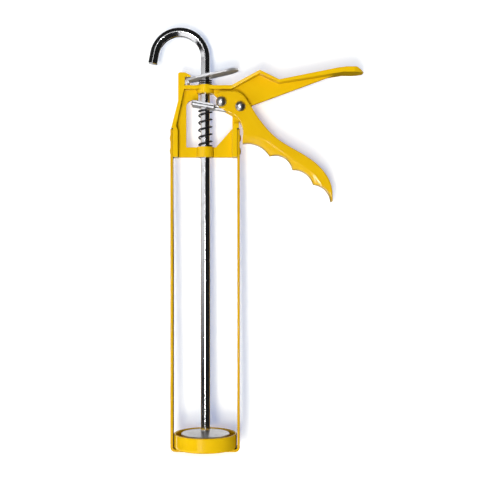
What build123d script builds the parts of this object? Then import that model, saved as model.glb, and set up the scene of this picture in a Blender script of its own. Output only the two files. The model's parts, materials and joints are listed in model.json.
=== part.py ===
from build123d import *
import os
from math import atan2, cos, degrees, radians, sin, tan

# Skeleton-frame caulking gun for a 300 ml cartridge, in millimetres.
# X runs from the hook side to the trigger side, Y through the thickness of the frame, Z up along
# the push rod. The origin lies on the rod's axis, at the underside of the strap feet.

# --- Cartridge cradle: the two straps and the front cup ---
cradle_width = 51.0  # clear width between the straps
cradle_length = 230.7  # from the cup's floor to the underside of the body
strap_thickness = 2.1
strap_width = 13.0
strap_bend_radius = 1.9  # inside the bend at the foot
strap_lap = 22.7  # length of strap that lies on the body
strap_end_radius = 2.5
foot_reach = 13.0  # from the strap's inner face towards the axis
cup_height = 12.0
cup_wall = 1.5
cup_floor = 1.5
cup_corner_radius = 2.5
cup_clearance = 0.3  # between the cup and the straps
cup_lip_chamfer = 0.4
nozzle_hole_diameter = 21.0

# --- Push rod, pusher disc and its nut ---
rod_across_flats = 7.45
hook_radius = 20.4  # of the rod's centre line
hook_turn = 169.0  # degrees
hook_tail = 9.1
hook_rise = 22.9  # straight rod between the top of the body and the hook
rod_chamfer = 0.6
rod_edge_radius = 1.3
spigot_diameter = 5.8
spigot_tip = 0.8  # of the spigot, below the nut
disc_gap = 4.4  # between the disc's rim and the cup's wall
disc_thickness = 1.5
disc_rise = 2.0  # from the rim to the flat round the rod
disc_flat_diameter = 12.0
disc_chamfer = 0.4
disc_stand_off = 10.9  # from the cup's floor up to the disc's middle
nut_across_flats = 10.0
nut_height = 4.6
running_clearance = 0.15  # radial, rod corners in the collars
fit_clearance = 0.06  # radial, pins and rivets in their holes

# --- Trigger, its pivot and its drive pin, placed from the pivot ---
pivot_overhang = 2.5  # of the pivot's centre beyond the strap's inner face
trigger_width = 14.0
ear_thickness = 2.6
ear_gap = 1.7  # between the ears and the top flange
fork_radius = 13.5  # of the room between the ears
side_clearance = 0.4  # between the ears and the pivot boss
pivot_boss_radius = 6.0
pivot_diameter = 5.0
drive_pin_rise = 3.75  # above the pivot
drive_pin_diameter = 4.0
roller_diameter = 6.0
nose_radius = 4.3  # round the drive pin
nose_gap = 2.0  # between the nose and the upper collar
nose_angles = (140.0, 85.0)  # where the nose's arc starts, and its turn
crown_start = -5.6  # where the ears' level top begins
crown_fullness = 0.55  # how high the back is half way to the crown, as a share of the way up
neck_line = [(-6.6, -6.6), (-0.7, -11.6), (1.9, -18.1)]
finger_cusps = [(1.7, -29.4), (23.5, -39.2), (41.7, -50.1), (58.4, -62.0), (72.4, -76.0)]
finger_depths = [3.8, 5.0, 3.7, 3.8]
grip_tip = (73.2, -75.4)
back_line = [(71.8, -61.8), (59.9, -45.3), (36.2, -30.4), (23.7, -20.7), (13.5, -8.1)]
shoulder_point = (7.9, 0.9)
shoulder_slope = (-0.52, 0.85)
grip_line = [(-6.0, -22.2), (15.2, -23.2), (60.0, -55.0), (72.6, -78.0)]
grip_line_radius = 28.0
grip_rounding = 11.0  # how far the finger side's rounding runs out from the grip line
grip_crease = 12.0  # degrees, between the flat sides and the rounding
finger_reach = 17.0  # how far the rounding's cutter runs out from the grip line
grip_wall = 4.9
channel_end = (58.0, -53.6)
channel_mouth = [(68.0, -44.0), (60.0, -20.0), (12.0, 14.0)]
rib_places = [(25.0, -30.0), (42.0, -42.1)]
rib_thickness = 2.0
rib_reach = 40.0
rivet_head_diameter = 8.3
rivet_head_height = 2.7
rivet_head_rim = 0.5

# --- Body casting: a web inside a rim, with the fixed handle ---
web_thickness = 4.0
rim_depth = 14.8  # of the rim round the web, through the frame
rim_thickness = 3.9
flange_thickness = 2.9
shoulder_step = 1.4  # the body stands out this far over the straps' ends
rim_stub = 3.6  # height of the right rim above the shoulder
rim_gap = 0.2  # between the right rim and the room between the ears
web_root_rise = 2.7  # from the stub's top to where the web leaves the pillar
pivot_cover = 16.6  # from the pivot up to the top of the body
knee_drop = 12.4  # from the top of the body down to the knee of the left pillar
pillar_top_width = 4.8
collar_wall = 2.15
collar_depth = 16.0
web_overlap = 0.7  # of the web into the upper collar
upper_collar_height = 6.8
upper_collar_proud = 0.8  # above the top of the body
lower_collar_height = 8.3
window_left = -15.1
window_base = 8.1
window_gap = 2.0  # between the lower collar and the window's slanted edge
window_head_rise = 1.65  # from the drive pin up to the window's edge left of the rod
window_neck = 5.5  # half width of the window beside the rod, under the upper collar
window_corner = 5.0  # radius of the window's upper left corner
window_radius = 0.8
pin_slot_length = 10.0
pin_slot_clearance = 1.7
notch_x = -15.9  # bottom of the notch that holds the catch plate's tab
notch_rise = 1.2  # from the top of the body to the notch
notch_height = 5.3
notch_slope = 1.5
notch_overhang = 4.5
horn_depth = 5.5
horn_cap = 3.7
horn_lip = 1.3
horn_radius = 1.8
handle_width = 22.0
handle_root = -7.0  # where the handle leaves the body's top, from the pivot
handle_line = [(15.3, 28.2), (30.7, 20.7), (76.7, 29.9), (84.0, 30.9), (92.3, 30.9), (98.5, 27.3)]
handle_under = [(97.8, 26.7), (81.5, 26.7), (30.7, 18.5), (15.3, 25.8)]
handle_web_root = (9.2, 1.2)
handle_web_bulge = (7.0, -6.1)
handle_web_tip = (81.5, 27.8)
handle_flare = 16.0  # where the handle has its full width, from the pivot
handle_nose = 8.6  # length of the handle's rounded end

# --- Drive plates, catch plate and the two springs ---
plate_thickness = 1.8
plate_tilt = 10.0  # degrees down towards the trigger
plate_hole_clearance = 0.35
plate_side_land = 4.9  # metal beside the rod's hole
plate_end_land = 5.55  # metal left of the rod's hole
plate_neck_land = 2.75  # metal between the hole and the tongue
plate_corner_radius = 1.5
tongue_reach = 4.1  # beyond the drive pin
tongue_clearance = 0.6  # on each side, between the ears
contact_gap = 0.15  # between the roller and the upper plate
wire_sides = 6  # of the springs' wire, which stands for a round one
spring_wire = 1.1
spring_pitch = 6.0
spring_clearance = 0.5  # round the rod's corners
catch_thickness = 1.9
catch_width = 20.0
catch_length = 42.5
catch_tilt = 12.5  # degrees up towards the handle
catch_tab = 2.0
catch_tab_clearance = 0.2
catch_gap = 0.7
catch_neck = 8.0
catch_neck_width = 12.0
catch_hole_clearance = 0.7
catch_spring_wire = 0.8
catch_spring_pitch = 1.7
catch_spring_clearance = 0.4
spring_seat_gap = 0.15

# --- Rivets that hold the straps ---
strap_rivet_diameter = 3.2
strap_rivet_head_diameter = 5.6
strap_rivet_head_height = 1.0
strap_rivet_length = 7.0
strap_rivet_heights = {"lower": 5.1, "upper": 15.5}  # above the body's underside
foot_rivet_diameter = 4.0
foot_rivet_inset = 7.0  # from the strap's inner face
foot_rivet_head_diameter = 6.6
foot_rivet_head_height = 1.0
thin_head_rim = 0.25  # of the strap and foot rivets

# --- Values worked out from the driving dimensions ---
half_cradle = cradle_width / 2
cup_base = strap_thickness
cup_radius = half_cradle - cup_clearance
cup_inside = cup_base + cup_floor
body_base = cup_inside + cradle_length
foot_rivet_x = half_cradle - foot_rivet_inset
shoulder_base = strap_lap + cup_clearance
shoulder_half = half_cradle + shoulder_step
rim_top = shoulder_base + rim_stub
pivot_x = half_cradle + pivot_overhang
pivot_z = rim_top + rim_gap + fork_radius
body_height = pivot_z + pivot_cover
window_right = half_cradle - rim_thickness
collar_top = body_height + upper_collar_proud
collar_base = collar_top - upper_collar_height
notch_base = body_height + notch_rise
notch_top = notch_base + notch_height
horn_left = notch_x - horn_depth
horn_top = notch_top + horn_cap
rod_corner_radius = rod_across_flats / 3**0.5
rod_bore_radius = rod_corner_radius + running_clearance
collar_half = rod_bore_radius + collar_wall
disc_base = cup_inside + disc_stand_off
disc_radius = cup_radius - cup_wall - disc_gap
rod_shoulder = disc_base + disc_thickness
hook_start = body_base + body_height + hook_rise
web_half = web_thickness / 2
rim_half = rim_depth / 2
trigger_half = trigger_width / 2
fork_half = trigger_half - ear_thickness
boss_half = fork_half - side_clearance
drive_pin_x = collar_half + nose_gap + nose_radius
drive_pin_z = pivot_z + drive_pin_rise
drive_pin_place = (drive_pin_x - pivot_x, drive_pin_rise)  # from the pivot
ear_top = pivot_cover - flange_thickness - ear_gap  # above the pivot
window_head = drive_pin_z + window_head_rise

body_plane = Plane(origin=(0, 0, body_base), x_dir=(1, 0, 0), z_dir=(0, -1, 0))
trigger_plane = Plane(origin=(pivot_x, 0, body_base + pivot_z), x_dir=(1, 0, 0), z_dir=(0, -1, 0))
drive_pin_plane = Plane(
    origin=(drive_pin_x, 0, body_base + drive_pin_z), x_dir=(1, 0, 0), z_dir=(0, -1, 0)
)

parts = {}


def from_pivot(place):
    """A point of the body's plane that is given from the trigger's pivot."""
    return (pivot_x + place[0], pivot_z + place[1])


def domed_pin(shank_diameter, shank_length, head_diameter, head_height, head_rim):
    """A rivet along Z: the underside of its head at Z = 0, its shank below and the dome above."""
    shank, head = shank_diameter / 2, head_diameter / 2
    with BuildPart() as pin:
        with BuildSketch(Plane.XZ):
            with BuildLine():
                Polyline(
                    (0, head_height), (0, -shank_length), (shank, -shank_length), (shank, 0),
                    (head, 0), (head, head_rim),
                )
                TangentArc((0, head_height), (head, head_rim), tangent=(1, 0))
            make_face()
        revolve(axis=Axis.Z)
    return pin.part


# --- Straps: one on each side, bent inwards under the cup ---
for side, sign in (("left", -1), ("right", 1)):
    inner = sign * half_cradle
    outer = sign * (half_cradle + strap_thickness)
    foot_end = sign * (half_cradle - foot_reach)
    strap_top = body_base + strap_lap
    with BuildPart() as strap:
        with BuildSketch(Plane.XZ):
            with BuildLine():
                Polyline(
                    (inner, strap_top), (outer, strap_top), (outer, 0), (foot_end, 0),
                    (foot_end, strap_thickness), (inner, strap_thickness), close=True,
                )
            make_face()
            outer_corner = vertices().sort_by_distance((outer, 0))[0]
            fillet(outer_corner, radius=strap_bend_radius + strap_thickness)
            inner_corner = vertices().sort_by_distance((inner, strap_thickness))[0]
            fillet(inner_corner, radius=strap_bend_radius)
        extrude(amount=strap_width / 2, both=True)
        fillet(edges().filter_by(Axis.X).group_by(Axis.Z)[-1], radius=strap_end_radius)
        foot_corners = edges().filter_by(Axis.Z).sort_by_distance((0, 0, 0))[:2]
        fillet(foot_corners, radius=strap_end_radius)
        for height in strap_rivet_heights.values():
            with BuildSketch(Plane.YZ.offset(inner)):
                with Locations((0, body_base + height)):
                    Circle(strap_rivet_diameter / 2 + fit_clearance)
            extrude(amount=sign * strap_thickness, mode=Mode.SUBTRACT)
        with BuildSketch(Plane.XY):
            with Locations((sign * foot_rivet_x, 0)):
                Circle(foot_rivet_diameter / 2 + fit_clearance)
        extrude(amount=strap_thickness, mode=Mode.SUBTRACT)
    parts[f"strap_{side}"] = strap.part

# --- Front cup: a pressed ring with a floor, which the cartridge's nose stands in ---
with BuildPart() as front_cup:
    with BuildSketch(Plane.XZ):
        with BuildLine():
            Polyline(
                (nozzle_hole_diameter / 2, cup_base), (cup_radius, cup_base),
                (cup_radius, cup_base + cup_height), (cup_radius - cup_wall, cup_base + cup_height),
                (cup_radius - cup_wall, cup_inside), (nozzle_hole_diameter / 2, cup_inside), close=True,
            )
        make_face()
        bottom_corner = vertices().sort_by_distance((cup_radius, cup_base))[0]
        fillet(bottom_corner, radius=cup_corner_radius)
        floor_corner = vertices().sort_by_distance((cup_radius - cup_wall, cup_inside))[0]
        chamfer(floor_corner, length=cup_corner_radius - cup_wall)
        chamfer(vertices().group_by(Axis.Y)[-1], length=cup_lip_chamfer)
    revolve(axis=Axis.Z)
    with BuildSketch(Plane.XY.offset(cup_base)):
        with Locations((foot_rivet_x, 0), (-foot_rivet_x, 0)):
            Circle(foot_rivet_diameter / 2 + fit_clearance)
    extrude(amount=cup_floor, mode=Mode.SUBTRACT)
parts["front_cup"] = front_cup.part

# --- Foot rivets: one through each foot and the cup's floor, flush underneath ---
for side, sign in (("left", -1), ("right", 1)):
    foot_rivet = domed_pin(
        foot_rivet_diameter, cup_inside, foot_rivet_head_diameter, foot_rivet_head_height,
        thin_head_rim,
    )
    parts[f"foot_rivet_{side}"] = foot_rivet.moved(Location((sign * foot_rivet_x, 0, cup_inside)))

# --- Push rod: a hexagonal bar with a turned spigot below and a hook above ---
with BuildPart() as push_rod:
    with BuildSketch(Plane.XY.offset(rod_shoulder)):
        RegularPolygon(rod_corner_radius, 6, rotation=30)
        fillet(vertices(), radius=rod_edge_radius)
    extrude(amount=hook_start - rod_shoulder)
    with BuildSketch(Plane.XY.offset(hook_start)):
        RegularPolygon(rod_corner_radius, 6, rotation=30)
        fillet(vertices(), radius=rod_edge_radius)
    revolve(axis=Axis((-hook_radius, 0, hook_start), (0, -1, 0)), revolution_arc=hook_turn)
    turn = radians(hook_turn)
    tail_base = Vector(hook_radius * (cos(turn) - 1), 0, hook_start + hook_radius * sin(turn))
    tail_direction = Vector(-sin(turn), 0, cos(turn))
    with BuildSketch(Plane(origin=tail_base, x_dir=(0, 1, 0), z_dir=tail_direction)):
        RegularPolygon(rod_corner_radius, 6)
        fillet(vertices(), radius=rod_edge_radius)
    extrude(amount=hook_tail)
    tail_face = faces().sort_by_distance(tail_base + tail_direction * hook_tail)[0]
    chamfer(tail_face.edges(), length=rod_chamfer)
    with BuildSketch(Plane.XY.offset(rod_shoulder)):
        Circle(spigot_diameter / 2)
    extrude(amount=-(disc_thickness + nut_height + spigot_tip))
parts["push_rod"] = push_rod.part

# --- Pusher disc: a dished pressing that drives the cartridge's piston ---
with BuildPart() as pusher_disc:
    with BuildSketch(Plane.XZ):
        with BuildLine():
            rim_level = disc_base - disc_rise
            bore_edge = spigot_diameter / 2 + fit_clearance
            Polyline(
                (bore_edge, disc_base), (disc_flat_diameter / 2, disc_base), (disc_radius, rim_level),
                (disc_radius, rim_level + disc_thickness),
                (disc_flat_diameter / 2, disc_base + disc_thickness),
                (bore_edge, disc_base + disc_thickness), close=True,
            )
        make_face()
        chamfer(vertices().group_by(Axis.X)[-1], length=disc_chamfer)
    revolve(axis=Axis.Z)
parts["pusher_disc"] = pusher_disc.part

# --- Nut that holds the disc against the rod's shoulder ---
with BuildPart() as disc_nut:
    with BuildSketch(Plane.XY.offset(disc_base)):
        RegularPolygon(nut_across_flats / 3**0.5, 6)
        Circle(spigot_diameter / 2 + fit_clearance, mode=Mode.SUBTRACT)
    extrude(amount=-nut_height)
parts["disc_nut"] = disc_nut.part

# --- Body casting: web, rim, collars, horn and the fixed handle in one piece ---
handle_top = [from_pivot(place) for place in [(handle_root, pivot_cover)] + handle_line]
handle_bottom = [from_pivot(place) for place in handle_under]
casting_top = max(horn_top, *[place[1] for place in handle_top])
knee = (horn_left, body_height - knee_drop)
pillar_top_inside = (horn_left + pillar_top_width, body_height - flange_thickness)
with BuildPart() as body_casting:
    with BuildSketch(body_plane):
        with BuildLine():
            Polyline(
                from_pivot(handle_web_root), from_pivot(handle_web_tip), *reversed(handle_top[:4]),
                (notch_x + notch_slope, body_height), (notch_x, notch_base), (horn_left, notch_base), knee,
                (-shoulder_half, shoulder_base), (-half_cradle, shoulder_base), (-half_cradle, 0),
                (half_cradle, 0), (half_cradle, shoulder_base), (shoulder_half, shoulder_base),
                (shoulder_half, rim_top + web_root_rise),
            )
            ThreePointArc(
                (shoulder_half, rim_top + web_root_rise), from_pivot(handle_web_bulge),
                from_pivot(handle_web_root),
            )
        make_face()
        with BuildLine():
            corner_center = (window_left + window_corner, window_head - window_corner)
            FilletPolyline(
                (window_left, corner_center[1]), (window_left, window_base),
                (collar_half + window_gap, window_base), (window_right, shoulder_base),
                (window_right, drive_pin_z - nose_radius), (drive_pin_x + nose_radius, drive_pin_z),
                (drive_pin_x - nose_radius, drive_pin_z + nose_radius),
                (window_neck, collar_base + web_overlap), (-window_neck, collar_base + web_overlap),
                (-window_neck, window_head), (corner_center[0], window_head), radius=window_radius,
            )
            CenterArc(corner_center, window_corner, 90, 90)
        make_face(mode=Mode.SUBTRACT)
        with Locations((drive_pin_x, drive_pin_z - pin_slot_length / 2)):
            slot_width = roller_diameter + 2 * pin_slot_clearance
            SlotCenterToCenter(pin_slot_length, slot_width, rotation=90, mode=Mode.SUBTRACT)
    extrude(amount=web_half, both=True)

    # The rim: the left pillar with the horn, and the lower part of the right pillar
    with BuildSketch(body_plane):
        with BuildLine():
            Polyline(
                (notch_x, notch_base), (notch_x, notch_top), (notch_x + notch_overhang, notch_top),
                (notch_x + notch_overhang, notch_top + horn_lip), (notch_x, horn_top),
                (horn_left, horn_top), knee, (-shoulder_half, shoulder_base),
                (-half_cradle, shoulder_base), (-half_cradle, 0), (-window_right, 0),
                (-window_right, shoulder_base - shoulder_step),
                (rim_thickness - shoulder_half, shoulder_base + shoulder_step), pillar_top_inside,
                (horn_left + pillar_top_width, body_height), close=True,
            )
        make_face()
        horn_corner = vertices().sort_by_distance((horn_left, horn_top))[0]
        fillet(horn_corner, radius=horn_radius)
        with BuildLine():
            Polyline(
                (half_cradle, 0), (half_cradle, shoulder_base), (shoulder_half, shoulder_base),
                (shoulder_half, rim_top), (shoulder_half - rim_thickness, rim_top),
                (window_right, shoulder_base - shoulder_step), (window_right, 0), close=True,
            )
        make_face()
    extrude(amount=rim_half, both=True)

    # The top flange: along the body and over the handle, wider in the hand
    with BuildSketch(body_plane):
        with BuildLine():
            Polyline(
                (horn_left + pillar_top_width, body_height), *handle_top, *handle_bottom,
                (handle_top[0][0], body_height - flange_thickness), pillar_top_inside, close=True,
            )
        make_face()
    extrude(amount=handle_width / 2, both=True)
    flange_end = handle_top[-1][0]
    with BuildSketch(Plane.XY.offset(body_base)):
        with BuildLine():
            Polyline(
                (flange_end - handle_nose, -handle_width / 2), (pivot_x + handle_flare, -handle_width / 2),
                (handle_top[0][0], -rim_half), (-cradle_width, -rim_half), (-cradle_width, rim_half),
                (handle_top[0][0], rim_half), (pivot_x + handle_flare, handle_width / 2),
                (flange_end - handle_nose, handle_width / 2),
            )
            ThreePointArc(
                (flange_end - handle_nose, handle_width / 2), (flange_end, 0),
                (flange_end - handle_nose, -handle_width / 2),
            )
        make_face()
    extrude(amount=casting_top + flange_thickness, mode=Mode.INTERSECT)

    # Collars that carry the push rod
    for level, height in ((collar_base, upper_collar_height), (0, lower_collar_height)):
        with BuildSketch(Plane.XY.offset(body_base + level)):
            SlotOverall(collar_depth, 2 * collar_half, rotation=90)
        extrude(amount=height)
    with BuildSketch(Plane.XY.offset(body_base)):
        Circle(rod_bore_radius)
    extrude(amount=collar_top, mode=Mode.SUBTRACT)

    # Pivot boss and bore
    with BuildSketch(body_plane):
        with Locations((pivot_x, pivot_z)):
            Circle(pivot_boss_radius)
    extrude(amount=boss_half, both=True)
    with BuildSketch(body_plane):
        with Locations((pivot_x, pivot_z)):
            Circle(pivot_diameter / 2 + fit_clearance)
    extrude(amount=boss_half, both=True, mode=Mode.SUBTRACT)

    # Blind holes for the strap rivets
    for sign in (-1, 1):
        for height in strap_rivet_heights.values():
            with BuildSketch(Plane.YZ.offset(sign * half_cradle)):
                with Locations((0, body_base + height)):
                    Circle(strap_rivet_diameter / 2 + fit_clearance)
            extrude(amount=-sign * (strap_rivet_length - strap_thickness), mode=Mode.SUBTRACT)
parts["body_casting"] = body_casting.part

# --- Strap rivets: two through each strap into the body's side ---
for side, sign in (("left", -1), ("right", 1)):
    for level, height in strap_rivet_heights.items():
        strap_rivet = domed_pin(
            strap_rivet_diameter, strap_rivet_length, strap_rivet_head_diameter,
            strap_rivet_head_height, thin_head_rim,
        )
        head_seat = Plane(
            origin=(sign * (half_cradle + strap_thickness), 0, body_base + height), z_dir=(sign, 0, 0)
        )
        parts[f"strap_rivet_{side}_{level}"] = head_seat.location * strap_rivet

# --- Trigger: a channel-section lever with two ears and a scalloped finger side ---
with BuildPart() as trigger:
    with BuildSketch(trigger_plane):
        with BuildLine():
            crown_end = (drive_pin_place[0], ear_top)
            Line((crown_start, ear_top), crown_end)
            nose = CenterArc(drive_pin_place, nose_radius, nose_angles[0], nose_angles[1])
            Spline(crown_end, nose @ 0, tangents=[(-1, 0), (0, -1)])
            Spline(nose @ 1, *neck_line, finger_cusps[0], tangents=[nose % 1, (0, -1)])
            for start, end, depth in zip(finger_cusps, finger_cusps[1:], finger_depths):
                SagittaArc(start, end, depth)
            Line(finger_cusps[-1], grip_tip)
            Spline(grip_tip, *back_line, shoulder_point, tangents=[(0, 1), shoulder_slope])
            Spline(
                shoulder_point, (shoulder_point[0] / 2, (shoulder_point[1] + ear_top) * crown_fullness),
                (crown_start, ear_top), tangents=[shoulder_slope, (-1, 0)],
            )
        make_face()
    extrude(amount=trigger_half, both=True)

    # Open channel between the ears and along the back of the grip, crossed by two ribs
    with BuildSketch(trigger_plane):
        Circle(fork_radius)
        with BuildLine():
            fork_left, fork_top = drive_pin_place[0] - 2 * nose_radius, ear_top + ear_gap
            Polyline(
                (0, -fork_radius), (fork_left, -fork_radius), (fork_left, fork_top), (0, fork_top),
                close=True,
            )
        make_face()
        with BuildLine():
            channel_start = (grip_wall, grip_line[0][1])
            FilletPolyline(channel_start, grip_line[1], channel_end, radius=grip_line_radius)
            Polyline(channel_end, *channel_mouth, (grip_wall, 0), channel_start)
        make_face()
        grip_slope = atan2(grip_line[2][1] - grip_line[1][1], grip_line[2][0] - grip_line[1][0])
        with Locations(*rib_places):
            Rectangle(rib_thickness, rib_reach, rotation=degrees(grip_slope), mode=Mode.SUBTRACT)
    extrude(amount=fork_half, both=True, mode=Mode.SUBTRACT)

    # Rounding of the finger side: an elliptical nose carried along the grip
    with BuildLine(trigger_plane) as grip_path:
        FilletPolyline(*grip_line, radius=grip_line_radius)
    along = grip_path.wire() % 0
    nose_plane = Plane(
        origin=grip_path.wire() @ 0, x_dir=Vector(along.Z, 0, -along.X), z_dir=along
    )
    with BuildSketch(nose_plane):
        with BuildLine():
            cutter_half = trigger_half + side_clearance
            Polyline(
                (0, trigger_half), (0, cutter_half), (finger_reach, cutter_half),
                (finger_reach, -cutter_half), (0, -cutter_half), (0, -trigger_half),
            )
            crease = radians(grip_crease)
            Spline(
                (0, -trigger_half), (grip_rounding, 0), (0, trigger_half),
                tangents=[(cos(crease), sin(crease)), (-cos(crease), sin(crease))],
            )
        make_face()
    sweep(path=grip_path.wire(), mode=Mode.SUBTRACT)

    # Holes for the pivot rivet and the drive rivet
    with BuildSketch(trigger_plane):
        Circle(pivot_diameter / 2 + fit_clearance)
        with Locations(drive_pin_place):
            Circle(drive_pin_diameter / 2 + fit_clearance)
    extrude(amount=trigger_half, both=True, mode=Mode.SUBTRACT)
parts["trigger"] = trigger.part

# --- Pivot rivet and drive rivet: steel pins with a domed head on each ear ---
head_base = trigger_half + fit_clearance
for name, plane, diameter in (
    ("pivot_rivet", trigger_plane, pivot_diameter), ("drive_rivet", drive_pin_plane, drive_pin_diameter)
):
    with BuildPart() as rivet:
        half_rivet = domed_pin(
            diameter, head_base, rivet_head_diameter, rivet_head_height, rivet_head_rim
        )
        add(half_rivet.moved(Location((0, 0, head_base))))
        mirror(about=Plane.XY)
    parts[name] = plane.location * rivet.part

# --- Roller: the sleeve on the drive rivet that bears on the plates ---
with BuildPart() as drive_roller:
    with BuildSketch(drive_pin_plane):
        Circle(roller_diameter / 2)
        Circle(drive_pin_diameter / 2 + fit_clearance, mode=Mode.SUBTRACT)
    extrude(amount=boss_half, both=True)
parts["drive_roller"] = drive_roller.part

# --- Drive plates: two tilted steel plates with a tongue that reaches under the roller ---
tilt_cos, tilt_sin = cos(radians(plate_tilt)), sin(radians(plate_tilt))
roller_reach = roller_diameter / 2 + contact_gap
plate_top = Vector(
    drive_pin_x - roller_reach * tilt_sin, 0, body_base + drive_pin_z - roller_reach * tilt_cos
)
plate_plane = Plane(
    origin=plate_top, x_dir=(tilt_cos, 0, -tilt_sin), z_dir=(tilt_sin, 0, tilt_cos)
)
plate_hole_radius = rod_corner_radius + plate_hole_clearance
plate_half = plate_hole_radius + plate_side_land
tongue_half = fork_half - tongue_clearance


def along_plate(x, depth=0.0):
    """Where the line X = x crosses the plates, measured along them, at a depth below their top."""
    return (x - plate_top.X + depth * tilt_sin) / tilt_cos


for index, level in enumerate(("upper", "lower")):
    with BuildPart() as drive_plate:
        with BuildSketch(plate_plane.offset(-index * plate_thickness)):
            with BuildLine():
                left = along_plate(-plate_hole_radius - plate_end_land)
                neck = along_plate(plate_hole_radius + plate_neck_land)
                end = along_plate(drive_pin_x + tongue_reach)
                Polyline(
                    (left, -plate_half), (neck, -plate_half), (neck, -tongue_half), (end, -tongue_half),
                    (end, tongue_half), (neck, tongue_half), (neck, plate_half), (left, plate_half),
                    close=True,
                )
            make_face()
            corners = vertices().group_by(Axis.X)
            fillet(corners[0] + corners[-1], radius=plate_corner_radius)
            with Locations((along_plate(0, (index + 0.5) * plate_thickness), 0)):
                Circle(plate_hole_radius, mode=Mode.SUBTRACT)
        extrude(amount=-plate_thickness)
    parts[f"drive_plate_{level}"] = drive_plate.part

# --- Catch plate: the thumb release that grips the rod, hinged in the horn's notch ---
catch_cos, catch_sin = cos(radians(catch_tilt)), sin(radians(catch_tilt))
catch_drop = catch_thickness + catch_tab  # from the plate's top to the end of its tab
catch_origin = Vector(
    notch_x + catch_gap, 0, body_base + notch_base + catch_drop + catch_tab_clearance
)
catch_plane = Plane(
    origin=catch_origin, x_dir=(catch_cos, 0, catch_sin), z_dir=(-catch_sin, 0, catch_cos)
)
with BuildPart() as catch_plate:
    with BuildSketch(catch_plane):
        with BuildLine():
            half, neck_half = catch_width / 2, catch_neck_width / 2
            Polyline(
                (catch_length - half, half), (catch_neck, half), (0, neck_half), (0, -neck_half),
                (catch_neck, -half), (catch_length - half, -half),
            )
            ThreePointArc((catch_length - half, -half), (catch_length, 0), (catch_length - half, half))
        make_face()
        with Locations((-catch_origin.X / catch_cos, 0)):
            Circle(rod_corner_radius + catch_hole_clearance, mode=Mode.SUBTRACT)
    extrude(amount=-catch_thickness)
    with BuildSketch(catch_plane):
        with Locations((catch_thickness / 2, 0)):
            Rectangle(catch_thickness, catch_neck_width)
    extrude(amount=-catch_drop)
parts["catch_plate"] = catch_plate.part

# --- Springs: the main spring under the plates and the small one under the catch plate ---
main_coil = rod_corner_radius + spring_clearance + spring_wire / 2
plate_underside = plate_top.Z + (plate_top.X * tilt_sin - 2 * plate_thickness) / tilt_cos
main_top = plate_underside - (main_coil + spring_wire / 2) * tilt_sin / tilt_cos
catch_coil = rod_corner_radius + catch_spring_clearance + catch_spring_wire / 2
catch_underside = catch_origin.Z - (catch_origin.X * catch_sin + catch_thickness) / catch_cos
catch_top = catch_underside - (catch_coil + catch_spring_wire / 2) * catch_sin / catch_cos
for name, base, top, wire, coil_radius, free_pitch, last_turn in (
    ("main_spring", body_base + lower_collar_height, main_top, spring_wire, main_coil, spring_pitch, 1),
    (
        "catch_spring", body_base + collar_top, catch_top, catch_spring_wire, catch_coil,
        catch_spring_pitch, 0.5,
    ),
):
    # The last turn ends under the lowest side of the tilted plate
    wire_inset = wire / 2 + spring_seat_gap
    coil_height = top - base - 2 * wire_inset
    turns = round(coil_height / free_pitch - last_turn) + last_turn
    with BuildPart() as spring:
        with BuildLine() as coil:
            Helix(coil_height / turns, coil_height, coil_radius, center=(0, 0, base + wire_inset))
        with BuildSketch(Plane(origin=coil.wire() @ 0, z_dir=coil.wire() % 0)):
            RegularPolygon(wire / 2, wire_sides)
        sweep(path=coil.wire(), is_frenet=True)
    parts[name] = spring.part

os.makedirs("parts", exist_ok=True)
for name, piece in parts.items():
    piece.label = name
    export_step(piece, f"parts/{name}.step")
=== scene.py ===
"""Looks of a skeleton-frame caulking gun.

They are its painted and plated finishes, its two wound springs, and a soft white studio round it.
"""

import json
import logging
import math
from dataclasses import dataclass, field, replace
from enum import Enum

import bpy
import numpy as np
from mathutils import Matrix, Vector


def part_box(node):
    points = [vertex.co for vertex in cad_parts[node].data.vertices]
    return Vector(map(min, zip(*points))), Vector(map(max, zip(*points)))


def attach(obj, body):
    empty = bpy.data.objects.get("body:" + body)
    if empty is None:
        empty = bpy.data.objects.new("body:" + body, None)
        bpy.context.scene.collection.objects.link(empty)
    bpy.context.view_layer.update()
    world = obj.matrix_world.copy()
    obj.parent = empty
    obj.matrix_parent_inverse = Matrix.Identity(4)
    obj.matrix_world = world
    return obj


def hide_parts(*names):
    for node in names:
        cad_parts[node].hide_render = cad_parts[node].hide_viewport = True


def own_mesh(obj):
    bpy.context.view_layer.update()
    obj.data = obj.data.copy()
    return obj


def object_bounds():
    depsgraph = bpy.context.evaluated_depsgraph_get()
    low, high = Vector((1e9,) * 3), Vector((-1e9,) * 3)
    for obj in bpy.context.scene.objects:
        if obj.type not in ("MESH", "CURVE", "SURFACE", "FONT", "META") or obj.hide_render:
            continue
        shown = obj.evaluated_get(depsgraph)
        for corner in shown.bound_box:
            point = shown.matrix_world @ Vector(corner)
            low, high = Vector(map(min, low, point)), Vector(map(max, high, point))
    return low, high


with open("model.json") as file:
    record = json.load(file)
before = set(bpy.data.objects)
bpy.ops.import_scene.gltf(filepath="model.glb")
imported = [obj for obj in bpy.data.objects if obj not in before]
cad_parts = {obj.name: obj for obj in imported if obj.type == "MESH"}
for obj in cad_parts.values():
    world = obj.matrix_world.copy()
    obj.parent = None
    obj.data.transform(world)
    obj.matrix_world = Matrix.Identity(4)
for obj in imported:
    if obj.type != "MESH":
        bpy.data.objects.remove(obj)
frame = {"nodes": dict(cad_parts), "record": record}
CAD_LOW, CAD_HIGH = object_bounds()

log = logging.getLogger("caulking_gun")
MM = 0.001

Span = tuple[float, float]
Triple = tuple[float, float, float]
Colour = Triple
Socket = bpy.types.NodeSocket
Input = Socket | float | tuple[float, ...]


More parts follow.
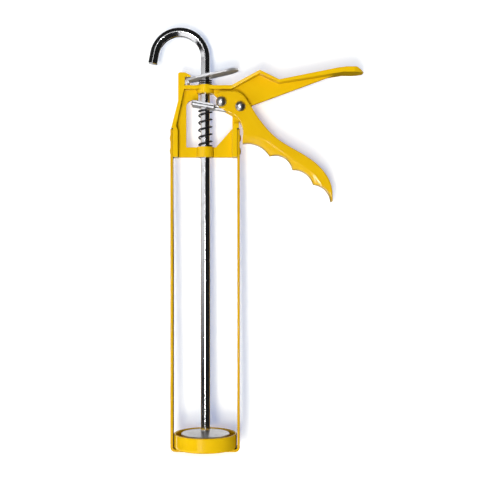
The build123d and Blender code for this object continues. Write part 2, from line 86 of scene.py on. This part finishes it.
@dataclass(frozen=True)
class Pattern:
    """A random pattern on a surface.

    It has so many features per metre and so many octaves of finer ones. The stretch is a factor on
    each axis before the pattern is drawn, so a small one draws it out along that axis.
    """

    per_metre: float
    octaves: float
    stretch: Triple = (1.0, 1.0, 1.0)


class Grain(Enum):
    """How the surface of a metal was worked, which sets the pattern of its fine marks."""

    # Drawn through a die, with marks along Z.
    DRAWN = Pattern(1500.0, 2.0, (1.0, 1.0, 0.02))
    # Rolled into sheet, with marks along X.
    ROLLED = Pattern(1500.0, 2.0, (0.03, 1.0, 1.0))
    # Turned in a lathe, with rings round Z.
    TURNED = Pattern(1800.0, 2.0)
    # Tumbled, with marks in no direction.
    POLISHED = Pattern(1200.0, 4.0)


class Graph:
    """A node tree with short calls to add nodes, so that a finish reads as a list of steps."""

    def __init__(self, tree: bpy.types.NodeTree) -> None:
        """Empties the tree.

        Args:
            tree: the node tree of a material or of the world.
        """
        tree.nodes.clear()
        self.tree = tree

    def add(self, kind: str, **inputs: Input) -> bpy.types.Node:
        """Adds a node and sets or links its inputs.

        Args:
            kind: the node's type, without the leading "ShaderNode".
            inputs: for each input socket, its name with "_" for a space, and a constant or
                a socket.

        Returns:
            The new node.
        """
        node = self.tree.nodes.new("ShaderNode" + kind)
        for name, value in inputs.items():
            self.feed(node.inputs[name.replace("_", " ")], value)
        return node

    def feed(self, target: Socket, value: Input) -> None:
        """Links a socket to the target, or writes a constant into it.

        Args:
            target: the input socket.
            value: a constant, or the output socket to link.
        """
        if isinstance(value, Socket):
            self.tree.links.new(value, target)
        else:
            target.default_value = value

    def math(self, operation: str, *values: Input) -> Socket:
        """Adds a Math node.

        Args:
            operation: the Math node's operation.
            values: its inputs in order, each a number or a socket.

        Returns:
            The node's result.
        """
        node = self.add("Math")
        node.operation = operation
        for target, value in zip(node.inputs, values):
            self.feed(target, value)
        return node.outputs[0]

    def step(
        self, value: Socket, low: float, high: float, start: float = 0.0, end: float = 1.0
    ) -> Socket:
        """Turns a value smoothly from start to end while it goes from low to high.

        Args:
            value: the value that is followed.
            low: where the change begins.
            high: where the change is complete.
            start: the result at and below low.
            end: the result at and above high.

        Returns:
            The result.
        """
        node = self.add(
            "MapRange", Value=value, From_Min=low, From_Max=high, To_Min=start, To_Max=end
        )
        node.interpolation_type = "SMOOTHSTEP"
        return node.outputs[0]

    def noise(self, place: Socket, pattern: Pattern) -> Socket:
        """Adds a random pattern on the object's own coordinates.

        Args:
            place: the coordinates, in metres.
            pattern: the pattern.

        Returns:
            The pattern's value, about 0.5 in the middle.
        """
        mapped = self.add("Mapping", Vector=place, Scale=pattern.stretch)
        drawn = self.add(
            "TexNoise", Vector=mapped.outputs[0], Scale=pattern.per_metre, Detail=pattern.octaves
        )
        return drawn.outputs[0]

    def blend(self, share: Input, first: Input, second: Input) -> Socket:
        """Mixes two colours.

        Args:
            share: 0 for the first colour, and 1 for the second.
            first: a colour, or the socket of one.
            second: the same for the other colour.

        Returns:
            The mixed colour.
        """
        node = self.add("Mix")
        node.data_type = "RGBA"
        for name, value in (("Factor_Float", share), ("A_Color", first), ("B_Color", second)):
            target = next(socket for socket in node.inputs if socket.identifier == name)
            self.feed(target, (*value, 1.0) if isinstance(value, tuple) else value)
        return next(socket for socket in node.outputs if socket.identifier == "Result_Color")


def new_material(name: str) -> tuple[bpy.types.Material, Graph]:
    """Makes a material.

    Args:
        name: its name.

    Returns:
        The material, and its node tree, still empty.
    """
    made = bpy.data.materials.new(name)
    made.use_nodes = True
    return made, Graph(made.node_tree)


def new_object(name: str, data: bpy.types.ID) -> bpy.types.Object:
    """Makes an object and puts it in the scene.

    Args:
        name: its name.
        data: the mesh, lamp or camera that it shows.

    Returns:
        The object, at the origin.
    """
    made = bpy.data.objects.new(name, data)
    bpy.context.scene.collection.objects.link(made)
    return made


@dataclass(frozen=True)
class Paint:
    """A glossy powder coat, clouded in tone, with a fine orange peel and painted shade in the
    corners.

    A span is the stretch of a pattern's value, or of how open a corner is, over which its effect
    goes from none to all.
    """

    name: str
    colour: Colour
    thin_colour: Colour
    # the colour of the painted shade in corners and creases
    corner_shade_colour: Colour
    gloss: float = 0.75
    roughness: float = 0.08
    under_roughness: float = 0.5
    clouds: Pattern = Pattern(55.0, 3.0)
    cloud_span: Span = (0.35, 0.68)
    specks: Pattern = Pattern(900.0, 2.0)
    speck_span: Span = (0.66, 0.74)
    speck_share: float = 0.35
    # how far, over what span and how finely the painted corner shade is sought
    corner_shade_width: float = 1.0 * MM
    corner_shade_span: Span = (0.36, 0.86)
    corner_shade_samples: int = 8
    edge_radius: float = 0.7 * MM
    edge_samples: int = 6
    peel: Pattern = Pattern(700.0, 1.0)
    peel_height: float = 0.006 * MM
    peel_strength: float = 0.35

    def tone(self, g: Graph, place: Socket) -> Socket:
        """The coat's colour.

        Args:
            g: the material's graph.
            place: the object's coordinates.

        Returns:
            The colour, paler in the clouds and specks where the coat is thin, with painted shade in
            corners.
        """
        cloud = g.step(g.noise(place, self.clouds), *self.cloud_span)
        tone = g.blend(cloud, self.colour, self.thin_colour)
        speck = g.step(g.noise(place, self.specks), *self.speck_span, 0.0, self.speck_share)
        tone = g.blend(speck, tone, self.thin_colour)
        # Painted shade: the colour turns dark where ambient occlusion finds nearby surfaces, in
        # corners and creases.
        corner = g.add("AmbientOcclusion", Distance=self.corner_shade_width)
        corner.samples = self.corner_shade_samples
        open_share = g.step(corner.outputs["AO"], *self.corner_shade_span)
        return g.blend(open_share, self.corner_shade_colour, tone)

    def material(self) -> bpy.types.Material:
        """Builds the paint's node tree.

        Returns:
            The material.
        """
        made, g = new_material(self.name)
        place = g.add("TexCoord").outputs["Object"]
        tone = self.tone(g, place)
        rounded = g.add("Bevel", Radius=self.edge_radius)
        rounded.samples = self.edge_samples
        peeled = g.add(
            "Bump", Strength=self.peel_strength, Distance=self.peel_height,
            Height=g.noise(place, self.peel), Normal=rounded.outputs[0],
        ).outputs[0]
        shader = g.add(
            "BsdfPrincipled", Base_Color=tone, Roughness=self.under_roughness, Normal=peeled,
            Specular_IOR_Level=0.0, Coat_Weight=self.gloss, Coat_Roughness=self.roughness,
            Coat_Normal=peeled,
        )
        g.add("OutputMaterial", Surface=shader.outputs[0])
        return made


def node_places(node: str) -> np.ndarray:
    """Reads where the vertices of a CAD node are.

    Args:
        node: the node's name.

    Returns:
        The places in metres, shaped (vertices, 3).
    """
    vertices = frame["nodes"][node].data.vertices
    places = np.empty(len(vertices) * 3)
    vertices.foreach_get("co", places)
    return places.reshape(-1, 3)


@dataclass(frozen=True)
class PlateSeam:
    """The plane where two stacked plates meet, along which a dark line of painted shade is laid.

    Direction is the plane's unit normal, and level is how far the plane lies along it from the
    origin.
    """

    direction: Triple
    level: float
    # painted shade: the dark line where the plates meet, and its width
    seam_shade_colour: Colour = (0.01, 0.01, 0.01)
    seam_shade_width: float = 0.45 * MM

    @classmethod
    def between(cls, upper: str, lower: str) -> "PlateSeam":
        """Finds where two plates meet.

        The direction is the normal of the upper plate's broadest face, turned to point up.

        Args:
            upper: the node of the upper plate.
            lower: the node of the lower plate.

        Returns:
            The plane midway between the upper plate's underside and the lower plate's top.
        """
        faces = frame["nodes"][upper].data.polygons
        normals, areas = np.empty(len(faces) * 3), np.empty(len(faces))
        faces.foreach_get("normal", normals)
        faces.foreach_get("area", areas)
        broadest = normals.reshape(-1, 3)[areas.argmax()]
        direction = broadest * np.sign(broadest[2])
        underside = (node_places(upper) @ direction).min()
        top = (node_places(lower) @ direction).max()
        return cls(tuple(direction.tolist()), float(underside + top) / 2)

    def seam_shaded(self, g: Graph, place: Socket, tone: Socket) -> Socket:
        """Darkens a metal's tone with a line of painted shade along the seam.

        Args:
            g: the material's graph.
            place: the object's coordinates.
            tone: the colour of the metal away from the seam.

        Returns:
            The painted shade's colour in the seam, and the metal's from the shade's width on.
        """
        along = g.add("VectorMath")
        along.operation = "DOT_PRODUCT"
        g.feed(along.inputs[0], place)
        g.feed(along.inputs[1], self.direction)
        apart = g.math("ABSOLUTE", g.math("SUBTRACT", along.outputs["Value"], self.level))
        return g.blend(g.step(apart, self.seam_shade_width / 2, self.seam_shade_width), self.seam_shade_colour, tone)


@dataclass(frozen=True)
class Metal:
    """A bare or plated metal, with the fine marks of its grain and a dull bloom here and there.

    A span is the stretch of a pattern's value over which its effect goes from none to all.
    """

    name: str
    colour: Colour
    dull_colour: Colour
    roughness: float
    grain: Grain
    bareness: float = 1.0
    shaded_seam: PlateSeam | None = None
    bloom: Pattern = Pattern(160.0, 4.0)
    bloom_span: Span = (0.45, 0.7)
    bloom_dulling: float = 0.5
    bloom_roughening: float = 0.08
    mark_dull_span: Span = (0.4, 0.8)
    mark_dulling: float = 0.6
    mark_rough_span: Span = (0.3, 0.75)
    mark_roughening: float = 0.08
    mark_depth: float = 0.004 * MM
    mark_strength: float = 0.5
    edge_radius: float = 0.15 * MM
    edge_samples: int = 4

    def marks(self, g: Graph, place: Socket) -> Socket:
        """The fine marks of the grain.

        On turned metal the pattern is drawn on the distance from Z, the square root of x squared
        plus y squared, so that each mark is a ring.

        Args:
            g: the material's graph.
            place: the object's coordinates.

        Returns:
            A value about 0.5 in the middle that changes quickly across the marks.
        """
        if self.grain is Grain.TURNED:
            x, y, _ = g.add("SeparateXYZ", Vector=place).outputs
            square = g.math("ADD", g.math("MULTIPLY", x, x), g.math("MULTIPLY", y, y))
            place = g.add("CombineXYZ", X=g.math("SQRT", square)).outputs[0]
        return g.noise(place, self.grain.value)

    def material(self) -> bpy.types.Material:
        """Builds the metal's node tree.

        Returns:
            The material.
        """
        made, g = new_material(self.name)
        place = g.add("TexCoord").outputs["Object"]
        marks = self.marks(g, place)
        bloom = g.step(g.noise(place, self.bloom), *self.bloom_span)
        dull_share = g.math(
            "MAXIMUM", g.math("MULTIPLY", bloom, self.bloom_dulling),
            g.step(marks, *self.mark_dull_span, 0.0, self.mark_dulling),
        )
        tone = g.blend(dull_share, self.colour, self.dull_colour)
        # Painted shade: a dark line along the seam between stacked plates.
        if self.shaded_seam:
            tone = self.shaded_seam.seam_shaded(g, place, tone)
        roughening = g.math(
            "ADD", g.step(marks, *self.mark_rough_span, 0.0, self.mark_roughening),
            g.math("MULTIPLY", bloom, self.bloom_roughening),
        )
        rounded = g.add("Bevel", Radius=self.edge_radius)
        rounded.samples = self.edge_samples
        marked = g.add(
            "Bump", Strength=self.mark_strength, Distance=self.mark_depth, Height=marks,
            Normal=rounded.outputs[0],
        )
        shader = g.add(
            "BsdfPrincipled", Base_Color=tone, Metallic=self.bareness, Normal=marked.outputs[0],
            Roughness=g.math("ADD", roughening, self.roughness),
        )
        g.add("OutputMaterial", Surface=shader.outputs[0])
        return made


# Painted shade: the dark yellow put into corners and creases of the coat.
CORNER_SHADE_YELLOW = (0.17, 0.080, 0.003)
YELLOW = Paint(
    "yellow_powder_coat", (0.80, 0.485, 0.004), (0.83, 0.515, 0.005), CORNER_SHADE_YELLOW
)
# Painted shade: the same yellow coat, made darker on the trigger to stand in for the shade on it.
TRIGGER_SHADED_YELLOW = Paint(
    "trigger_painted_shade_coat", (0.75, 0.440, 0.004), (0.78, 0.470, 0.005), CORNER_SHADE_YELLOW,
    edge_radius=2.0 * MM,
)
# Painted shade: the same yellow coat, made darker on the straps to stand in for the shade on them.
STRAP_SHADED_YELLOW = Paint(
    "strap_painted_shade_coat", (0.63, 0.360, 0.004), (0.67, 0.388, 0.005), CORNER_SHADE_YELLOW,
    edge_radius=1.05 * MM,
)
# Its third colour is the painted shade in the rivet heads' corners.
RIVET_PAINT = Paint(
    "painted_rivet_head", (0.76, 0.43, 0.002), (0.80, 0.47, 0.003), (0.20, 0.095, 0.003)
)
POLISHED = Metal(
    "polished_rivet_steel", (0.82, 0.82, 0.84), (0.66, 0.66, 0.68), 0.27, Grain.POLISHED
)
PLATED = Metal(
    "zinc_plated_sheet", (0.72, 0.72, 0.74), (0.56, 0.56, 0.58), 0.32, Grain.ROLLED,
    bareness=0.7, edge_radius=0.5 * MM,
)
# The drive plates carry a painted line of shade where they meet.
DRIVE_PLATED = replace(
    PLATED, name="zinc_plated_sheet_seam_shade",
    shaded_seam=PlateSeam.between("drive_plate_upper", "drive_plate_lower"),
)
DRAWN = Metal("bright_drawn_bar", (0.84, 0.84, 0.86), (0.66, 0.66, 0.68), 0.09, Grain.DRAWN)
TURNED = Metal(
    "turned_zinc_disc", (0.56, 0.56, 0.58), (0.40, 0.40, 0.42), 0.27, Grain.TURNED, bareness=0.7
)
WIRE = Metal("dark_spring_wire", (0.08, 0.08, 0.09), (0.03, 0.03, 0.035), 0.30, Grain.POLISHED)


@dataclass
class Dressing:
    """The finishes of the CAD nodes that are shown as they are.

    Each slot of the record has a finish. The trigger and straps have darker copies of the yellow as
    painted shade, and the drive plates a painted line of shade where they meet.
    """

    slot_finishes: dict[str, Paint | Metal] = field(default_factory=lambda: {
        "yellow_paint": YELLOW,
        "painted_rivet": RIVET_PAINT,
        "polished_steel": POLISHED,
        "plated_steel": PLATED,
        "chromed_rod": DRAWN,
        "zinc_disc": TURNED,
        "spring_steel": WIRE,
    })
    node_finishes: dict[str, Paint | Metal] = field(default_factory=lambda: {
        "trigger": TRIGGER_SHADED_YELLOW,
        "strap_left": STRAP_SHADED_YELLOW,
        "strap_right": STRAP_SHADED_YELLOW,
        "drive_plate_upper": DRIVE_PLATED,
        "drive_plate_lower": DRIVE_PLATED,
    })

    def apply(self) -> int:
        """Gives every CAD node its own finish, or that of its slot in the record.

        Returns:
            The number of nodes dressed.
        """
        by_slot = {slot: finish.material() for slot, finish in self.slot_finishes.items()}
        by_node = {node: finish.material() for node, finish in self.node_finishes.items()}
        for part in frame["record"]["subparts"]:
            node = part["node"]
            mesh = frame["nodes"][node].data
            mesh.materials.clear()
            mesh.materials.append(by_node.get(node, by_slot[part["material_slot"]]))
            log.info("%s: dressed in %s", node, mesh.materials[0].name)
        return len(frame["record"]["subparts"])


def tube_piece(name: str, points: np.ndarray, body: str) -> bpy.types.Object:
    """Makes a closed tube from a grid of points.

    Each face of the tube's side joins two neighbouring points of one section to the same two of
    the next section. Each end is a fan of triangles round the mean of the end section's points.

    Args:
        name: the piece's name.
        points: places in metres, shaped (sections, points round a section, 3), each section turning
            clockwise as seen along the path, so that faces point outwards.
        body: the CAD body that it moves with.

    Returns:
        The new object, at the origin.
    """
    sections, around, _ = points.shape
    row, column = np.meshgrid(np.arange(sections - 1), np.arange(around), indexing="ij")
    here, beyond = row * around, (row + 1) * around
    after = (column + 1) % around
    side = np.stack(
        [here + column, beyond + column, beyond + after, here + after], axis=-1
    ).reshape(-1, 4)
    first, second = np.arange(around), (np.arange(around) + 1) % around
    start_middle, end_middle = sections * around, sections * around + 1
    end_row = (sections - 1) * around
    start_fan = np.stack([np.full(around, start_middle), first, second], axis=-1)
    end_fan = np.stack(
        [np.full(around, end_middle), end_row + second, end_row + first], axis=-1
    )
    vertices = np.concatenate([points.reshape(-1, 3), points[[0, -1]].mean(axis=1)])
    mesh = bpy.data.meshes.new(name)
    mesh.from_pydata(
        vertices.tolist(), [], side.tolist() + start_fan.tolist() + end_fan.tolist()
    )
    mesh.polygons.foreach_set("use_smooth", np.ones(len(mesh.polygons), dtype=bool))
    mesh.update()
    piece = new_object(name, mesh)
    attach(piece, body)
    return piece


def eased(share: np.ndarray) -> np.ndarray:
    """Eases a share from 0 to 1 at both ends: three times its square less twice its cube."""
    share = np.clip(share, 0.0, 1.0)
    return share * share * (3 - 2 * share)


@dataclass
class CoilSpring:
    """A wound compression spring round the push rod, with closed end coils.

    It takes its radius and its ends from the CAD node that it replaces. Its joint and kept length
    are not used.
    """

    node: str
    joint: str
    wire: float
    pitch: float
    closed_turns: float
    start_angle: float
    kept_length: float
    closed_slack: float = 1.04
    change_turns: float = 0.35
    sections_per_turn: int = 40
    around: int = 12

    def path(self) -> tuple[np.ndarray, float]:
        """The line along the middle of the wire.

        The angle grows evenly. The height grows by a little more than the wire's thickness for
        each turn at both ends, and by the pitch in between, with a smooth change from one slope to
        the other. The whole is then scaled to the spring's height.

        Returns:
            The points in metres, and the level of the spring's lower end.
        """
        low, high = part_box(self.node)
        radius = (high.x - low.x - self.wire) / 2
        height = high.z - low.z - self.wire
        closed_rise = self.wire * self.closed_slack
        open_turns = (height - 2 * self.closed_turns * closed_rise) / self.pitch
        turns = open_turns + 2 * self.closed_turns
        turn = np.linspace(0.0, turns, int(turns * self.sections_per_turn) + 1)
        opening = eased((turn - self.closed_turns) / self.change_turns + 0.5)
        closing = eased((turns - self.closed_turns - turn) / self.change_turns + 0.5)
        slope = closed_rise + opening * closing * (self.pitch - closed_rise)
        steps = (slope[1:] + slope[:-1]) / 2 * np.diff(turn)
        rise = np.concatenate([[0.0], np.cumsum(steps)])
        rise *= height / rise[-1]
        angle = math.radians(self.start_angle) + 2 * math.pi * turn
        level = low.z + self.wire / 2 + rise
        return np.stack([radius * np.cos(angle), radius * np.sin(angle), level], axis=-1), low.z

    def build(self) -> bpy.types.Object:
        """Sweeps the wire's round section along the path and dresses it.

        At each point of the path the section lies in the plane of the outward direction and the
        direction square to both the path and the outward direction.

        Returns:
            The spring.
        """
        centre, bottom = self.path()
        along = np.gradient(centre, axis=0)
        along /= np.linalg.norm(along, axis=1, keepdims=True)
        outward = centre * np.array([1.0, 1.0, 0.0])
        outward /= np.linalg.norm(outward, axis=1, keepdims=True)
        across = np.cross(along, outward)
        angle = np.linspace(0.0, 2 * math.pi, self.around, endpoint=False)
        ring = (
            np.cos(angle)[None, :, None] * outward[:, None, :]
            + np.sin(angle)[None, :, None] * across[:, None, :]
        )
        points = centre[:, None, :] + ring * self.wire / 2
        spring = tube_piece(self.node + "_coil", points, "frame")
        spring.data.materials.append(WIRE.material())
        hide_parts(self.node)
        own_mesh(spring)
        return spring


SPRINGS = (
    CoilSpring(
        "main_spring", "drive_travel", wire=1.3 * MM, pitch=5.86 * MM, closed_turns=0.75,
        start_angle=-86.0, kept_length=0.74,
    ),
    CoilSpring(
        "catch_spring", "catch_press", wire=0.8 * MM, pitch=1.7 * MM, closed_turns=0.5,
        start_angle=-90.0, kept_length=0.62,
    ),
)


@dataclass(frozen=True)
class Panel:
    """A soft-edged patch of light in the tent, as seen from the object.

    Azimuths are degrees from the camera's side, and grow towards +X. Low and high are the Z of a
    direction of length 1. A fade is how wide the soft edge is, in the same measure as its edge.
    """

    azimuth: float
    half_width: float
    low: float
    high: float
    level: float
    side_fade: float = 8.0
    low_fade: float = 0.08
    high_fade: float = 0.08

    def glow(self, g: Graph, direction: Socket) -> Socket:
        """The panel's light in a direction.

        It is the level times three smooth steps: one on the cosine of the angle between the level
        run of the direction and the panel's azimuth, and one on Z at each of the low and high edge.

        Args:
            g: the world's graph.
            direction: the direction, of length 1.

        Returns:
            The light: its level inside the panel and 0 well outside.
        """
        x, y, z = g.add("SeparateXYZ", Vector=direction).outputs
        angle = math.radians(self.azimuth)
        facing = g.math(
            "SUBTRACT", g.math("MULTIPLY", x, math.sin(angle)),
            g.math("MULTIPLY", y, math.cos(angle)),
        )
        level_run = g.math("SQRT", g.math("SUBTRACT", 1.0, g.math("MULTIPLY", z, z)))
        outer, inner = self.half_width + self.side_fade / 2, self.half_width - self.side_fade / 2
        across = g.step(
            g.math("DIVIDE", facing, level_run), math.cos(math.radians(outer)),
            math.cos(math.radians(inner)),
        )
        above = g.step(z, self.low - self.low_fade / 2, self.low + self.low_fade / 2)
        below = g.step(z, self.high + self.high_fade / 2, self.high - self.high_fade / 2)
        inside = g.math("MULTIPLY", across, g.math("MULTIPLY", above, below))
        return g.math("MULTIPLY", inside, self.level)


@dataclass(frozen=True)
class Paper:
    """White paper with a glow of its own, so that it stays white and its shadows stay pale."""

    name: str
    colour: Colour
    glow: Colour

    def material(self) -> bpy.types.Material:
        """Builds the paper, which the camera sees only from its front.

        Returns:
            The material.
        """
        made, g = new_material(self.name)
        sheet = g.add("BsdfDiffuse", Color=(*self.colour, 1.0))
        glow = g.add("Emission", Color=(*self.glow, 1.0), Strength=1.0)
        lit = g.add("AddShader")
        g.feed(lit.inputs[0], sheet.outputs[0])
        g.feed(lit.inputs[1], glow.outputs[0])
        one_sided = g.add("MixShader", Fac=g.add("NewGeometry").outputs["Backfacing"])
        g.feed(one_sided.inputs[1], lit.outputs[0])
        g.feed(one_sided.inputs[2], g.add("BsdfTransparent").outputs[0])
        g.add("OutputMaterial", Surface=one_sided.outputs[0])
        return made


@dataclass(frozen=True)
class Softbox:
    """A round soft lamp that isn't mirrored in the object, aimed at its middle.

    Direction is where it hangs as seen from the object's middle, and power is in watts.
    """

    name: str
    direction: Triple
    power: float
    size: float
    distance: float = 2.0

    def place(self) -> None:
        """Puts the lamp up."""
        data = bpy.data.lights.new(self.name, "AREA")
        data.shape, data.size, data.energy = "DISK", self.size, self.power
        lamp = new_object(self.name, data)
        away = Vector(self.direction).normalized()
        lamp.location = (CAD_LOW + CAD_HIGH) / 2 + away * self.distance
        lamp.rotation_euler = (-away).to_track_quat("-Z", "Y").to_euler()
        lamp.visible_glossy = False


FLOOR_PAPER = Paper("floor_paper", (0.80, 0.80, 0.78), (0.85, 0.85, 0.86))
WALL_PAPER = Paper("wall_paper", (0.96, 0.90, 0.68), (0.14, 0.225, 0.46))
SOFTBOXES = (
    Softbox("front_softbox", (-0.12, -1.0, -0.44), 13.0, size=0.6),
    Softbox("wide_softbox", (0.0, -1.0, -0.36), 5.5, size=1.3),
    Softbox("top_softbox", (0.0, -0.25, 1.0), 8.0, size=0.9),
    Softbox("floor_softbox", (0.0, -0.4, -1.0), 2.5, size=0.9),
    Softbox("left_softbox", (-1.0, -0.25, -0.1), 6.0, size=0.9),
    Softbox("right_softbox", (1.0, 0.15, 0.1), 7.0, size=0.9),
    Softbox("back_softbox", (0.25, 1.0, 0.35), 32.0, size=1.2),
)
PANELS = {
    "front_window": Panel(
        -13.0, 5.0, -0.145, -0.01, 36.0, side_fade=4.0, low_fade=0.05, high_fade=0.05
    ),
    "low_front": Panel(
        -27.0, 22.0, -0.80, -0.42, 0.4, side_fade=16.0, low_fade=0.2, high_fade=0.2
    ),
    "front_sill": Panel(
        -12.0, 12.0, -0.256, -0.236, 26.0, side_fade=3.0, low_fade=0.008, high_fade=0.008
    ),
    "tall_front": Panel(-21.0, 7.0, -0.20, 0.32, 1.8, side_fade=6.0),
    "high_front": Panel(
        -14.0, 14.0, 0.36, 0.62, 1.6, side_fade=5.0, low_fade=0.05, high_fade=0.1
    ),
    "left_band": Panel(-80.0, 38.0, -0.03, 0.18, 1.0, low_fade=0.22, high_fade=0.16),
    "low_left": Panel(-55.0, 50.0, -0.95, -0.42, 0.7, side_fade=14.0),
    "rear_left": Panel(-134.0, 7.0, -0.6, 0.3, 3.0),
    "low_rear": Panel(-164.0, 18.0, -0.30, -0.04, 0.55, side_fade=3.0),
}


@dataclass
class Studio:
    """The camera, a white floor and wall that keep soft shadows, and the light round them.

    Tent level is the light between the panels. The two edges of the backdrop are the Y and the Z
    of a direction of length 1, each from where its white begins to where it is full. Parts that
    reach back to within the same depth of the rearmost one count as standing at the wall.
    """

    eye: Triple = (0.0277, -0.8, 0.1684)
    lens: float = 75.0
    wall_gap: float = 1.0 * MM
    wall_size: float = 0.9
    floor_size: float = 3.0
    same_depth: float = 1.0 * MM
    tent_level: float = 0.012
    backdrop_side: Span = (0.0, 0.2)
    backdrop_foot: Span = (-0.02, 0.08)

    def camera(self) -> None:
        """Puts up a level camera that looks along +Y."""
        data = bpy.data.cameras.new("camera")
        data.lens = self.lens
        camera = new_object("camera", data)
        camera.location = self.eye
        camera.rotation_euler = (math.pi / 2, 0.0, 0.0)
        bpy.context.scene.camera = camera

    def sheet(self, name: str, paper: Paper, corners: list[Triple]) -> bpy.types.Object:
        """A flat sheet of paper that only the camera sees, and that lights nothing.

        Args:
            name: the object's name.
            paper: what it is made of.
            corners: its corners in metres, counter-clockwise as seen from its front.

        Returns:
            The sheet.
        """
        mesh = bpy.data.meshes.new(name)
        mesh.from_pydata(corners, [], [(0, 1, 2, 3)])
        mesh.materials.append(paper.material())
        sheet = new_object(name, mesh)
        sheet.visible_diffuse = sheet.visible_glossy = False
        sheet.visible_transmission = sheet.visible_shadow = False
        return sheet

    def sweep(self) -> None:
        """Lays the floor, and leans the wall over it until it nearly touches the object."""
        reach = self.floor_size / 2
        self.sheet("floor", FLOOR_PAPER, [
            (-reach, -reach, 0.0), (reach, -reach, 0.0), (reach, reach, 0.0), (-reach, reach, 0.0),
        ])
        left, right = self.eye[0] - self.wall_size / 2, self.eye[0] + self.wall_size / 2
        foot = CAD_HIGH.y + self.wall_gap
        head = foot - self.lean() * self.wall_size
        self.sheet("wall", WALL_PAPER, [
            (left, foot, 0.0), (right, foot, 0.0),
            (right, head, self.wall_size), (left, head, self.wall_size),
        ])

    def lean(self) -> float:
        """How far the wall comes forward for each metre of height before it meets the object.

        Returns:
            The smallest slope at which the wall, standing behind the cup, would touch another part.
        """
        corners = [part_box(part["node"])[1] for part in frame["record"]["subparts"]]
        nearer = [corner for corner in corners if corner.y < CAD_HIGH.y - self.same_depth]
        return min((CAD_HIGH.y - corner.y) / corner.z for corner in nearer)

    def tent(self) -> None:
        """Surrounds the object with a light tent.

        It is white for the camera and for gloss that looks past the object to the backdrop, and
        elsewhere it is the panels on black.
        """
        world = bpy.data.worlds.new("light_tent")
        world.use_nodes = True
        bpy.context.scene.world = world
        g = Graph(world.node_tree)
        direction = g.add("TexCoord").outputs["Generated"]
        glow: Input = self.tent_level
        for panel in PANELS.values():
            glow = g.math("ADD", glow, panel.glow(g, direction))
        ray = g.add("LightPath").outputs
        mirrored = g.math("MAXIMUM", ray["Is Glossy Ray"], ray["Is Transmission Ray"])
        _, y, z = g.add("SeparateXYZ", Vector=direction).outputs
        backdrop = g.math(
            "MULTIPLY", g.step(y, *self.backdrop_side), g.step(z, *self.backdrop_foot)
        )
        white = g.math("MAXIMUM", ray["Is Camera Ray"], g.math("MULTIPLY", mirrored, backdrop))
        lit = g.math("MULTIPLY", g.math("SUBTRACT", 1.0, white), glow)
        sky = g.add("Background", Color=(1.0, 1.0, 1.0, 1.0), Strength=g.math("ADD", white, lit))
        g.add("OutputWorld", Surface=sky.outputs[0])

    def build(self) -> None:
        """Puts up the whole studio."""
        self.camera()
        self.sweep()
        for softbox in SOFTBOXES:
            softbox.place()
        self.tent()
        bpy.context.scene.view_settings.view_transform = "Standard"


def main() -> None:
    """Builds the studio and every piece in order, and reports each."""
    logging.basicConfig(level=logging.INFO, format="%(message)s")
    Studio().build()
    log.info("studio: camera, floor, wall, %d softboxes, %d panels", len(SOFTBOXES), len(PANELS))
    dressed = Dressing().apply()
    log.info("finishes on %d CAD nodes", dressed)
    for spring in SPRINGS:
        piece = spring.build()
        log.info("%s: %d faces", piece.name, len(piece.data.polygons))


if __name__ == "__main__":
    main()
